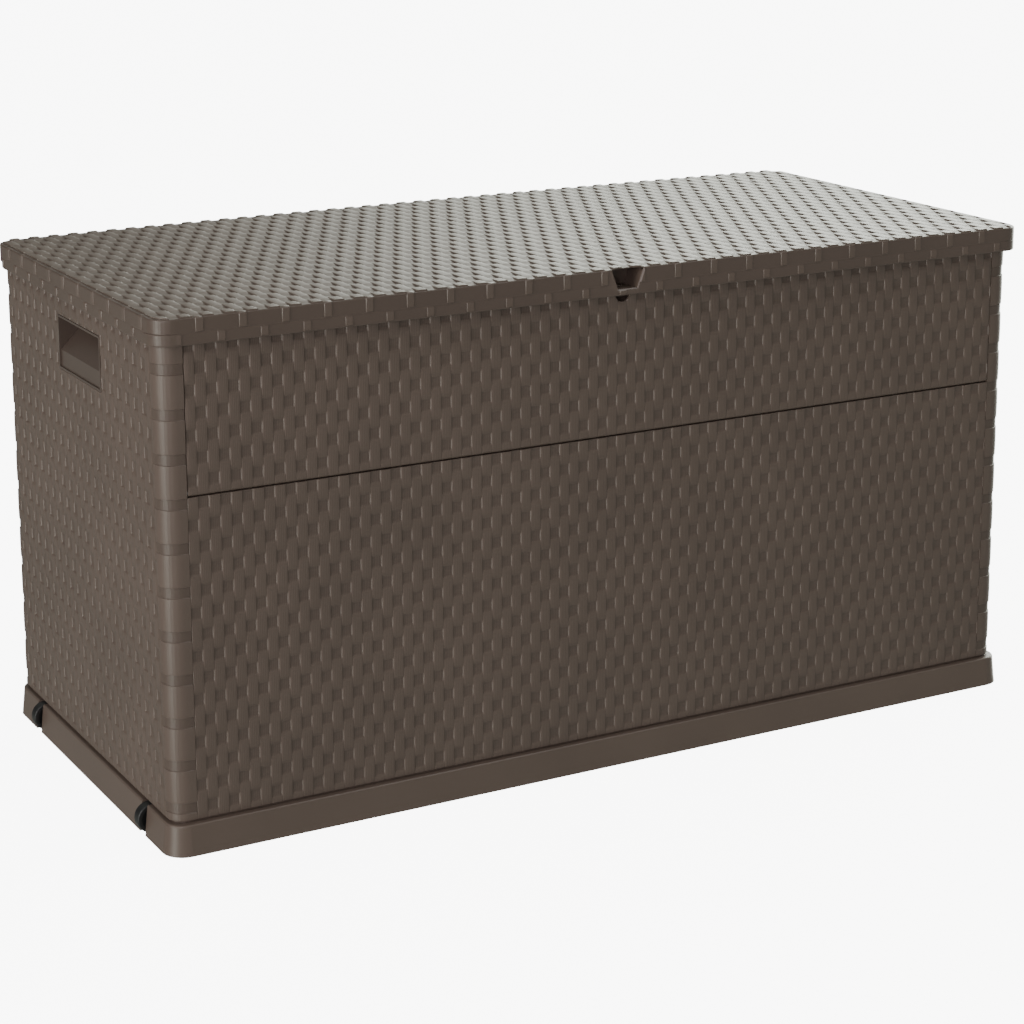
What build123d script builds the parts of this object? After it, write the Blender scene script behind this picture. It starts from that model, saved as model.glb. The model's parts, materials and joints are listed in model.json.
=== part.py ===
"""Deck storage box of about 420 litres, moulded in rattan-look plastic.

Axes: X runs along the long front, Y from front to back, Z up. The front faces -Y and the end
with the wheels faces -X. The origin is on the ground, below the centre of the lid.
All sizes are in millimetres.
"""
import os

from build123d import *

os.makedirs("parts", exist_ok=True)

# Overall sizes
LENGTH = 1200.0
DEPTH = 560.0
HEIGHT = 630.0
WALL = 2.8

# Case walls: the outer faces of the assembled panels
BODY_HALF_LENGTH = 592.0
BODY_FRONT = -267.0
BODY_BACK = 270.0
BODY_DEPTH = BODY_BACK - BODY_FRONT
BODY_MID_Y = (BODY_FRONT + BODY_BACK) / 2
SEAM_X = 562.0
POST_WIDTH = BODY_HALF_LENGTH - SEAM_X
JAMB_DEPTH = 22.0
FRONT_CORNER_RADIUS = 22.0
BACK_CORNER_RADIUS = 16.0
PANEL_BOTTOM = 40.0
PANEL_SPLIT = 419.5
END_PANEL_TOP = 604.0
BACK_PANEL_TOP = 598.0
PAN_DEPTH = 16.0
PAN_GAP = 0.4
RIB = 3.0
RIB_SPACING = 200.0
RIB_COUNT = 5

# Base tray
SKIRT_LENGTH = 1200.0
SKIRT_DEPTH = 556.0
SKIRT_DRAFT = 4.0
SKIRT_TOP = 37.0
SKIRT_RADIUS = 27.0
SKIRT_EDGE_RADIUS = 2.5
STEP_INSET = 3.0
BASE_RIB_BOTTOM = 1.0
BASE_CROSS_RIB_X = (-540.0, -200.0, 200.0, 540.0)

# Wheels at the left end
WHEEL_RADIUS = 18.0
WHEEL_WIDTH = 14.0
WHEEL_EDGE_RADIUS = 2.0
WHEEL_RECESS_RADIUS = 13.0
WHEEL_HUB_RADIUS = 6.5
WHEEL_RECESS = 4.0
WHEEL_SLOT = 17.0
WHEEL_ROOM = 1.5
WHEEL_X = -589.5
WHEEL_Z = 19.0
WHEEL_Y = 187.0
AXLE_RADIUS = 3.0
CHEEK = 4.0
CHEEK_START = -595.0
CHEEK_LENGTH = 36.0
CHEEK_BOTTOM = 8.0
RUNNING_CLEARANCE = 0.05

# Lid
LID_HEIGHT = 34.0
LID_BOTTOM = HEIGHT - LID_HEIGHT
LID_RADIUS = 25.0
LID_EDGE_RADIUS = 3.0
LID_REAR_BOTTOM = 605.0
LID_REAR_CUT_Y = 250.0
LINER_BOTTOM = 604.4
LINER = 2.5
LINER_GAP = 1.0
LINER_BACK = 262.0
LINER_RIB_X = (-500.0, -300.0, -100.0, 100.0, 300.0, 500.0)
LINER_RIB_END = 10.0

# Lid hinges
HINGE_X = 400.0
HINGE_Y = 273.0
HINGE_Z = 606.0
BARREL_RADIUS = 6.0
KNUCKLE_PLATE_FRONT = 265.0
KNUCKLE_PLATE_BACK = 276.5
PIN_RADIUS = 2.5
KNUCKLE_HALF = 12.5
EAR_START = 13.0
EAR_END = 25.0
EAR_OVERLAP = 8.0
LEAF_HALF = 30.0
LEAF = 2.5
LEAF_BOTTOM = 560.0
LEAF_TOP = 598.5
HINGE_NOTCH_HALF = 31.0
HINGE_NOTCH_TOP = 613.5

# Drop-down front flap
FLAP_GAP = 2.2
FLAP_HALF = SEAM_X - FLAP_GAP
FLAP_BOTTOM = 421.0
FLAP_EDGE_RADIUS = 4.0
FLAP_TOP = 594.5
FLAP_DEPTH = 17.5
FLAP_INNER = 2.5
FLAP_AXIS_Y = BODY_FRONT + FLAP_EDGE_RADIUS
FLAP_AXIS_Z = FLAP_BOTTOM + FLAP_EDGE_RADIUS
FLAP_PIN_START = 549.0
FLAP_PIN_END = 568.0
FLAP_PIN_PLAY = 0.5
FLAP_BOSS = 12.0
FLAP_BOSS_DEPTH = 11.0
FLAP_BOSS_HEIGHT = 10.0
FLAP_BOSS_OVERLAP = 0.5
FLAP_BOSS_X = (-400.0, 0.0, 400.0)
FLAP_BOSS_Z = (460.0, 555.0)

# Padlock socket in the lid, with the half-moon relief below it in the flap
SOCKET_HALF = 25.0
SOCKET_BACK = -244.0
SOCKET_BOTTOM = 600.5
SOCKET_WALL = 3.0
SOCKET_ROOM = 0.5
NOTCH_TOP_HALF = 22.0
NOTCH_BOTTOM_HALF = 13.0
NOTCH_SCOOP = 6.0
SHACKLE_RADIUS = 4.5
SHACKLE_Y = -257.5
HALF_MOON_RADIUS = 10.5

# Handle cups in both ends
HANDLE_WIDTH = 145.0
HANDLE_BOTTOM = 505.0
HANDLE_TOP = 571.0
HANDLE_Y = -8.0
CUP_WALL = 2.5
CUP_SHALLOW = 2.0
CUP_DEEP = 26.0
CUP_RAMP_BOTTOM = 528.0
CUP_RAMP_TOP = 552.0

# Screws
SCREW_RADIUS = 2.0
SCREW_HEAD_RADIUS = 4.0
SCREW_HEAD = 2.4
SCREW_INSET = 12.0
BLIND_HOLE = 10.0
JAMB_SHANK = 9.0
LEAF_SCREW_BITE = 3.0
FLANGE_CLEARANCE = 2.0
JAMB_SCREW_Z = (90.0, 230.0, 370.0)
BACK_UPPER_SCREW_Z = (460.0, 560.0)
LEAF_SCREW_Z = (570.0, 586.0)
LEAF_SCREW_X = 20.0
BASE_SCREW_Y = (-180.0, 0.0, 180.0)
BASE_SCREW_X = SEAM_X + 10.0
KNUCKLE_SCREW_X = 8.0
KNUCKLE_FOOT = 4.0
KNUCKLE_FOOT_LENGTH = 24.0
BASE_FLANGE = 3.0

SIDES = (("left", -1), ("right", 1))
floor_bottom = PANEL_BOTTOM - WALL
liner_front = WALL + LINER_GAP - DEPTH / 2
jamb_screw_front_y = BODY_FRONT + SCREW_INSET
jamb_screw_back_y = BODY_BACK - SCREW_INSET
knuckle_screw_y = LINER_BACK - SCREW_INSET
rib_xs = [(i - (RIB_COUNT - 1) / 2) * RIB_SPACING for i in range(RIB_COUNT)]

# Base tray: a drafted skirt, a raised floor with ribs below it, and two wheel wells
with BuildPart() as base_tray:
    with BuildSketch(Plane.XY):
        RectangleRounded(SKIRT_LENGTH, SKIRT_DEPTH, SKIRT_RADIUS)
    rim_length = SKIRT_LENGTH - 2 * SKIRT_DRAFT
    rim_depth = SKIRT_DEPTH - 2 * SKIRT_DRAFT
    rim_radius = SKIRT_RADIUS - SKIRT_DRAFT
    with BuildSketch(Plane.XY.offset(SKIRT_TOP)):
        RectangleRounded(rim_length, rim_depth, rim_radius)
    loft()
    fillet(base_tray.faces().sort_by(Axis.Z)[-1].edges(), SKIRT_EDGE_RADIUS)
    step_length = 2 * (BODY_HALF_LENGTH - STEP_INSET)
    step_depth = BODY_DEPTH - 2 * STEP_INSET
    step_radius = FRONT_CORNER_RADIUS - STEP_INSET
    with BuildSketch(Plane.XY.offset(SKIRT_TOP)):
        with Locations((0, BODY_MID_Y)):
            RectangleRounded(step_length, step_depth, step_radius)
    extrude(amount=PANEL_BOTTOM - SKIRT_TOP)
    with BuildSketch(Plane.XY):
        RectangleRounded(SKIRT_LENGTH - 2 * WALL, SKIRT_DEPTH - 2 * WALL, SKIRT_RADIUS - WALL)
    with BuildSketch(Plane.XY.offset(SKIRT_TOP - WALL)):
        RectangleRounded(rim_length - 2 * WALL, rim_depth - 2 * WALL, rim_radius - WALL)
    loft(mode=Mode.SUBTRACT)
    with BuildSketch(Plane.XY.offset(SKIRT_TOP - WALL)):
        with Locations((0, BODY_MID_Y)):
            RectangleRounded(step_length - 2 * WALL, step_depth - 2 * WALL, step_radius - WALL)
    extrude(amount=floor_bottom - SKIRT_TOP + WALL, mode=Mode.SUBTRACT)
    # Ribs under the floor
    rib_height = floor_bottom - BASE_RIB_BOTTOM
    rib_mid_z = (floor_bottom + BASE_RIB_BOTTOM) / 2
    for x in BASE_CROSS_RIB_X:
        with Locations((x, BODY_MID_Y, rib_mid_z)):
            Box(RIB, BODY_DEPTH, rib_height)
    with Locations((0, 0, rib_mid_z)):
        Box(BASE_CROSS_RIB_X[-1] - BASE_CROSS_RIB_X[0], RIB, rib_height)
    # Wheel wells: two cheeks carry each axle, and the skirt is open between them
    cheek_mid_x = CHEEK_START + CHEEK_LENGTH / 2
    cheek_mid_z = (floor_bottom + CHEEK_BOTTOM) / 2
    well_radius = WHEEL_RADIUS + WHEEL_ROOM
    for y in (-WHEEL_Y, WHEEL_Y):
        for cheek_side in (-1, 1):
            cheek_y = y + cheek_side * (WHEEL_SLOT + CHEEK) / 2
            with Locations((cheek_mid_x, cheek_y, cheek_mid_z)):
                Box(CHEEK_LENGTH, CHEEK, floor_bottom - CHEEK_BOTTOM)
        slot_plane = Plane.XZ.offset(-y)
        with BuildSketch(slot_plane):
            with Locations((WHEEL_X, WHEEL_Z)):
                Circle(well_radius)
            with Locations((WHEEL_X, 0)):
                Rectangle(2 * well_radius, 2 * WHEEL_Z)
        extrude(amount=WHEEL_SLOT / 2, both=True, mode=Mode.SUBTRACT)
        with BuildSketch(slot_plane):
            with Locations((WHEEL_X, WHEEL_Z)):
                Circle(AXLE_RADIUS)
        extrude(amount=WHEEL_SLOT / 2 + CHEEK, both=True, mode=Mode.SUBTRACT)
    # Screw holes for the bottom flanges of the end panels
    with BuildSketch(Plane.XY.offset(PANEL_BOTTOM)):
        for name, side in SIDES:
            for y in BASE_SCREW_Y:
                with Locations((side * BASE_SCREW_X, y)):
                    Circle(SCREW_RADIUS)
    extrude(amount=-WALL, mode=Mode.SUBTRACT)
base_tray.part.label = "base_tray"
export_step(base_tray.part, "parts/base_tray.step")

# Wheels and axles, front and rear
for name, y in (("front", -WHEEL_Y), ("rear", WHEEL_Y)):
    wheel_plane = Plane.XZ.offset(-y)
    with BuildPart() as wheel:
        with BuildSketch(wheel_plane):
            with Locations((WHEEL_X, WHEEL_Z)):
                Circle(WHEEL_RADIUS)
        extrude(amount=WHEEL_WIDTH / 2, both=True)
        fillet(wheel.edges(), WHEEL_EDGE_RADIUS)
        for face_side in (-1, 1):
            with BuildSketch(wheel_plane.offset(face_side * WHEEL_WIDTH / 2)):
                with Locations((WHEEL_X, WHEEL_Z)):
                    Circle(WHEEL_RECESS_RADIUS)
                    Circle(WHEEL_HUB_RADIUS, mode=Mode.SUBTRACT)
            extrude(amount=-face_side * WHEEL_RECESS, mode=Mode.SUBTRACT)
        with BuildSketch(wheel_plane):
            with Locations((WHEEL_X, WHEEL_Z)):
                Circle(AXLE_RADIUS + RUNNING_CLEARANCE)
        extrude(amount=WHEEL_WIDTH, both=True, mode=Mode.SUBTRACT)
    wheel.part.label = f"{name}_wheel"
    export_step(wheel.part, f"parts/{name}_wheel.step")

    with BuildPart() as axle:
        with BuildSketch(wheel_plane):
            with Locations((WHEEL_X, WHEEL_Z)):
                Circle(AXLE_RADIUS)
        extrude(amount=WHEEL_SLOT / 2 + CHEEK, both=True)
    axle.part.label = f"{name}_wheel_axle"
    export_step(axle.part, f"parts/{name}_wheel_axle.step")

# End panels: each wraps round both corners of the case and ends in a jamb at the seam
for name, side in SIDES:
    outer_plane = Plane.YZ.offset(side * BODY_HALF_LENGTH)
    seam_plane = Plane.YZ.offset(side * SEAM_X)
    with BuildPart() as end_panel:
        with BuildSketch(Plane.XY.offset(PANEL_BOTTOM)) as section:
            with Locations((side * (SEAM_X + POST_WIDTH / 2), BODY_MID_Y)):
                Rectangle(POST_WIDTH, BODY_DEPTH)
            front_corner = section.vertices().sort_by(lambda v: side * v.X - v.Y)[-1]
            fillet(front_corner, FRONT_CORNER_RADIUS)
            back_corner = section.vertices().sort_by(lambda v: side * v.X + v.Y)[-1]
            fillet(back_corner, BACK_CORNER_RADIUS)
            offset(section.face(), amount=-WALL, mode=Mode.SUBTRACT)
            with Locations((side * (SEAM_X + WALL / 2), BODY_MID_Y)):
                Rectangle(2 * WALL, BODY_DEPTH - 2 * JAMB_DEPTH, mode=Mode.SUBTRACT)
        extrude(amount=END_PANEL_TOP - PANEL_BOTTOM)
        flange_width = POST_WIDTH - WALL / 2
        with BuildSketch(Plane.XY.offset(PANEL_BOTTOM)):
            with Locations((side * (SEAM_X + flange_width / 2), BODY_MID_Y)):
                Rectangle(flange_width, BODY_DEPTH - 2 * (JAMB_DEPTH + FLANGE_CLEARANCE))
            for y in BASE_SCREW_Y:
                with Locations((side * BASE_SCREW_X, y)):
                    Circle(SCREW_RADIUS, mode=Mode.SUBTRACT)
        extrude(amount=BASE_FLANGE)
        with BuildSketch(outer_plane):
            with Locations((HANDLE_Y, (HANDLE_BOTTOM + HANDLE_TOP) / 2)):
                Rectangle(HANDLE_WIDTH, HANDLE_TOP - HANDLE_BOTTOM)
        extrude(amount=-side * 2 * WALL, mode=Mode.SUBTRACT)
        with BuildSketch(seam_plane):
            with Locations((FLAP_AXIS_Y, FLAP_AXIS_Z)):
                Circle(PIN_RADIUS)
            for z in JAMB_SCREW_Z:
                with Locations((jamb_screw_front_y, z), (jamb_screw_back_y, z)):
                    Circle(SCREW_RADIUS)
            for z in BACK_UPPER_SCREW_Z:
                with Locations((jamb_screw_back_y, z)):
                    Circle(SCREW_RADIUS)
        extrude(amount=side * 2 * WALL, mode=Mode.SUBTRACT)
    end_panel.part.label = f"{name}_end_panel"
    export_step(end_panel.part, f"parts/{name}_end_panel.step")

    # Handle cup: a shallow plate that ramps up into a finger pocket under the top edge
    with BuildPart() as handle_cup:
        face_x = side * BODY_HALF_LENGTH
        with BuildSketch(Plane.XZ.offset(-HANDLE_Y)):
            with BuildLine():
                Polyline(
                    (face_x, HANDLE_BOTTOM),
                    (face_x - side * (CUP_SHALLOW + CUP_WALL), HANDLE_BOTTOM),
                    (face_x - side * (CUP_SHALLOW + CUP_WALL), CUP_RAMP_BOTTOM - 1.0),
                    (face_x - side * (CUP_DEEP + CUP_WALL), CUP_RAMP_TOP - 1.0),
                    (face_x - side * (CUP_DEEP + CUP_WALL), HANDLE_TOP),
                    (face_x, HANDLE_TOP),
                    close=True,
                )
            make_face()
        extrude(amount=HANDLE_WIDTH / 2, both=True)
        with BuildSketch(Plane.XZ.offset(-HANDLE_Y)):
            with BuildLine():
                Polyline(
                    (face_x, HANDLE_BOTTOM + CUP_WALL),
                    (face_x - side * CUP_SHALLOW, HANDLE_BOTTOM + CUP_WALL),
                    (face_x - side * CUP_SHALLOW, CUP_RAMP_BOTTOM),
                    (face_x - side * CUP_DEEP, CUP_RAMP_TOP),
                    (face_x - side * CUP_DEEP, HANDLE_TOP - CUP_WALL),
                    (face_x, HANDLE_TOP - CUP_WALL),
                    close=True,
                )
            make_face()
        extrude(amount=HANDLE_WIDTH / 2 - CUP_WALL, both=True, mode=Mode.SUBTRACT)
    handle_cup.part.label = f"{name}_handle_cup"
    export_step(handle_cup.part, f"parts/{name}_handle_cup.step")

# Fixed front and back panels: pans with a flange all round and upright ribs inside
pan_half = SEAM_X - PAN_GAP
pans = (
    ("lower_front_panel", BODY_FRONT, 1, PANEL_BOTTOM, PANEL_SPLIT, JAMB_SCREW_Z),
    ("lower_back_panel", BODY_BACK, -1, PANEL_BOTTOM, PANEL_SPLIT, JAMB_SCREW_Z),
    ("upper_back_panel", BODY_BACK, -1, PANEL_SPLIT, BACK_PANEL_TOP, BACK_UPPER_SCREW_Z),
)
for name, face_y, inward, bottom, top, screw_zs in pans:
    mid_z = (bottom + top) / 2
    with BuildPart() as pan:
        with Locations((0, face_y + inward * PAN_DEPTH / 2, mid_z)):
            Box(2 * pan_half, PAN_DEPTH, top - bottom)
        with Locations((0, face_y + inward * (WALL + PAN_DEPTH / 2), mid_z)):
            Box(2 * (pan_half - WALL), PAN_DEPTH, top - bottom - 2 * WALL, mode=Mode.SUBTRACT)
        for x in rib_xs:
            with Locations((x, face_y + inward * (PAN_DEPTH + WALL) / 4, mid_z)):
                Box(RIB, (PAN_DEPTH + WALL) / 2, top - bottom - WALL)
        with BuildSketch(Plane.YZ.offset(-pan_half - 1)):
            for z in screw_zs:
                with Locations((face_y + inward * SCREW_INSET, z)):
                    Circle(SCREW_RADIUS)
        extrude(amount=2 * pan_half + 2, mode=Mode.SUBTRACT)
        if name == "upper_back_panel":
            with BuildSketch(Plane.XZ.offset(-BODY_BACK)):
                for hinge_side in (-1, 1):
                    for z in LEAF_SCREW_Z:
                        for dx in (-LEAF_SCREW_X, LEAF_SCREW_X):
                            with Locations((hinge_side * HINGE_X + dx, z)):
                                Circle(SCREW_RADIUS)
            extrude(amount=WALL, mode=Mode.SUBTRACT)
    pan.part.label = name
    export_step(pan.part, f"parts/{name}.step")

# Front flap: a pan with a rounded bottom edge, turning on two pins in its bottom corners
with BuildPart() as front_flap:
    flap_mid_z = (FLAP_BOTTOM + FLAP_TOP) / 2
    flap_height = FLAP_TOP - FLAP_BOTTOM
    with Locations((0, BODY_FRONT + FLAP_DEPTH / 2, flap_mid_z)):
        Box(2 * FLAP_HALF, FLAP_DEPTH, flap_height)
    bottom_edges = front_flap.edges().filter_by(Axis.X).group_by(Axis.Z)[0]
    fillet(bottom_edges.sort_by(Axis.Y)[0], FLAP_EDGE_RADIUS)
    with Locations((0, BODY_FRONT + WALL + FLAP_DEPTH / 2, flap_mid_z)):
        Box(2 * (FLAP_HALF - RIB), FLAP_DEPTH, flap_height - 2 * RIB, mode=Mode.SUBTRACT)
    rib_depth = FLAP_DEPTH - FLAP_INNER - WALL / 2
    for x in rib_xs:
        if x not in FLAP_BOSS_X:
            with Locations((x, BODY_FRONT + WALL / 2 + rib_depth / 2, flap_mid_z)):
                Box(RIB, rib_depth, flap_height - RIB)
    for end in (-1, 1):
        boss_y = BODY_FRONT + RIB + FLAP_BOSS_DEPTH / 2
        boss_z = FLAP_BOTTOM + RIB - FLAP_BOSS_OVERLAP + FLAP_BOSS_HEIGHT / 2
        with Locations((end * (FLAP_HALF - FLAP_BOSS / 2), boss_y, boss_z)):
            Box(FLAP_BOSS, FLAP_BOSS_DEPTH, FLAP_BOSS_HEIGHT)
    with BuildSketch(Plane.XZ.offset(-(BODY_FRONT + WALL / 2))):
        for x in FLAP_BOSS_X:
            for z in FLAP_BOSS_Z:
                with Locations((x, z)):
                    Circle(SCREW_HEAD_RADIUS + 1)
    extrude(amount=-rib_depth)
    with BuildSketch(Plane.XZ.offset(-(BODY_FRONT + FLAP_DEPTH - FLAP_INNER))):
        for x in FLAP_BOSS_X:
            for z in FLAP_BOSS_Z:
                with Locations((x, z)):
                    Circle(SCREW_RADIUS)
    extrude(amount=BLIND_HOLE, mode=Mode.SUBTRACT)
    for end in (-1, 1):
        with BuildSketch(Plane.YZ.offset(end * (FLAP_PIN_START - FLAP_PIN_PLAY))):
            with Locations((FLAP_AXIS_Y, FLAP_AXIS_Z)):
                Circle(PIN_RADIUS + RUNNING_CLEARANCE)
        extrude(amount=end * 2 * FLAP_BOSS, mode=Mode.SUBTRACT)
    with BuildSketch(Plane.XY.offset(FLAP_TOP)):
        with Locations((0, SHACKLE_Y)):
            Circle(SHACKLE_RADIUS)
    extrude(amount=-RIB, mode=Mode.SUBTRACT)
    with BuildSketch(Plane.XZ.offset(-BODY_FRONT)):
        with Locations((0, LID_BOTTOM)):
            Circle(HALF_MOON_RADIUS)
    extrude(amount=-WALL, mode=Mode.SUBTRACT)
front_flap.part.label = "front_flap"
export_step(front_flap.part, "parts/front_flap.step")

with BuildPart() as flap_inner_panel:
    inner_y = BODY_FRONT + FLAP_DEPTH - FLAP_INNER / 2
    with Locations((0, inner_y, flap_mid_z)):
        Box(2 * (FLAP_HALF - RIB - PAN_GAP), FLAP_INNER, flap_height - 2 * (RIB + PAN_GAP))
    with BuildSketch(Plane.XZ.offset(-(BODY_FRONT + FLAP_DEPTH))):
        for x in FLAP_BOSS_X:
            for z in FLAP_BOSS_Z:
                with Locations((x, z)):
                    Circle(SCREW_RADIUS)
    extrude(amount=FLAP_INNER, mode=Mode.SUBTRACT)
flap_inner_panel.part.label = "flap_inner_panel"
export_step(flap_inner_panel.part, "parts/flap_inner_panel.step")

for name, side in SIDES:
    with BuildPart() as flap_pin:
        with BuildSketch(Plane.YZ.offset(side * FLAP_PIN_START)):
            with Locations((FLAP_AXIS_Y, FLAP_AXIS_Z)):
                Circle(PIN_RADIUS)
        extrude(amount=side * (FLAP_PIN_END - FLAP_PIN_START))
    flap_pin.part.label = f"{name}_flap_pin"
    export_step(flap_pin.part, f"parts/{name}_flap_pin.step")

# Lid shell: a shallow tray turned over, cut back at the rear so that it can turn
with BuildPart() as lid_shell:
    with BuildSketch(Plane.XY.offset(LID_BOTTOM)):
        RectangleRounded(LENGTH, DEPTH, LID_RADIUS)
    extrude(amount=LID_HEIGHT)
    fillet(lid_shell.faces().sort_by(Axis.Z)[-1].edges(), LID_EDGE_RADIUS)
    with BuildSketch(Plane.XY.offset(LID_BOTTOM)):
        RectangleRounded(LENGTH - 2 * WALL, DEPTH - 2 * WALL, LID_RADIUS - WALL)
    extrude(amount=LID_HEIGHT - WALL, mode=Mode.SUBTRACT)
    rear_cut = DEPTH / 2 - LID_REAR_CUT_Y + 1
    with Locations((0, LID_REAR_CUT_Y + rear_cut / 2, (LID_BOTTOM + LID_REAR_BOTTOM) / 2)):
        Box(LENGTH + 2, rear_cut, LID_REAR_BOTTOM - LID_BOTTOM, mode=Mode.SUBTRACT)
    notch_height = HINGE_NOTCH_TOP - LID_BOTTOM
    for side in (-1, 1):
        with Locations((side * HINGE_X, DEPTH / 2, LID_BOTTOM + notch_height / 2)):
            Box(2 * HINGE_NOTCH_HALF, 4 * WALL, notch_height, mode=Mode.SUBTRACT)
    ledge = SOCKET_BOTTOM + SOCKET_WALL
    with BuildSketch(Plane.XZ.offset(DEPTH / 2)):
        with BuildLine():
            Polyline(
                (-NOTCH_BOTTOM_HALF, ledge),
                (NOTCH_BOTTOM_HALF, ledge),
                (NOTCH_TOP_HALF, HEIGHT - WALL),
                (-NOTCH_TOP_HALF, HEIGHT - WALL),
                close=True,
            )
        make_face()
    extrude(amount=-2 * WALL, mode=Mode.SUBTRACT)
    with BuildSketch(Plane.XY.offset(HEIGHT - WALL)):
        with BuildLine():
            ThreePointArc(
                (-NOTCH_TOP_HALF, -DEPTH / 2 - 1),
                (0, -DEPTH / 2 + NOTCH_SCOOP),
                (NOTCH_TOP_HALF, -DEPTH / 2 - 1),
            )
            Line((NOTCH_TOP_HALF, -DEPTH / 2 - 1), (-NOTCH_TOP_HALF, -DEPTH / 2 - 1))
        make_face()
    extrude(amount=2 * WALL, mode=Mode.SUBTRACT)
lid_shell.part.label = "lid_shell"
export_step(lid_shell.part, "parts/lid_shell.step")

# Lid inner panel: closes the underside of the lid and carries cross ribs up to its skin
with BuildPart() as lid_inner_panel:
    liner_half = LENGTH / 2 - WALL - LINER_GAP
    liner_mid_y = (liner_front + LINER_BACK) / 2
    liner_depth = LINER_BACK - liner_front
    cut_depth = 2 * (SOCKET_BACK + SOCKET_ROOM - liner_front)
    with BuildSketch(Plane.XY.offset(LINER_BOTTOM)):
        with Locations((0, liner_mid_y)):
            RectangleRounded(2 * liner_half, liner_depth, LID_RADIUS - WALL)
        with Locations((0, liner_front)):
            Rectangle(2 * (SOCKET_HALF + SOCKET_ROOM), cut_depth, mode=Mode.SUBTRACT)
        for hinge_side in (-1, 1):
            for dx in (-KNUCKLE_SCREW_X, KNUCKLE_SCREW_X):
                with Locations((hinge_side * HINGE_X + dx, knuckle_screw_y)):
                    Circle(SCREW_RADIUS, mode=Mode.SUBTRACT)
    extrude(amount=LINER)
    rib_top = HEIGHT - WALL
    for x in LINER_RIB_X:
        with Locations((x, liner_mid_y, (LINER_BOTTOM + rib_top) / 2)):
            Box(RIB, liner_depth - 2 * LINER_RIB_END, rib_top - LINER_BOTTOM)
lid_inner_panel.part.label = "lid_inner_panel"
export_step(lid_inner_panel.part, "parts/lid_inner_panel.step")

# Padlock socket: a box under the lid's skin, open to the front, with a hole for the shackle
with BuildPart() as padlock_socket:
    socket_front = -DEPTH / 2 + WALL
    socket_top = HEIGHT - WALL
    socket_length = SOCKET_BACK - socket_front
    with Locations((0, (socket_front + SOCKET_BACK) / 2, (SOCKET_BOTTOM + socket_top) / 2)):
        Box(2 * SOCKET_HALF, socket_length, socket_top - SOCKET_BOTTOM)
    with BuildSketch(Plane.XZ.offset(-socket_front)):
        with BuildLine():
            Polyline(
                (-NOTCH_BOTTOM_HALF, ledge),
                (NOTCH_BOTTOM_HALF, ledge),
                (NOTCH_TOP_HALF, socket_top),
                (-NOTCH_TOP_HALF, socket_top),
                close=True,
            )
        make_face()
    extrude(amount=-(socket_length - SOCKET_WALL), mode=Mode.SUBTRACT)
    with BuildSketch(Plane.XY.offset(ledge)):
        with Locations((0, SHACKLE_Y)):
            Circle(SHACKLE_RADIUS)
    extrude(amount=-SOCKET_WALL, mode=Mode.SUBTRACT)
padlock_socket.part.label = "padlock_socket"
export_step(padlock_socket.part, "parts/padlock_socket.step")

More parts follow.
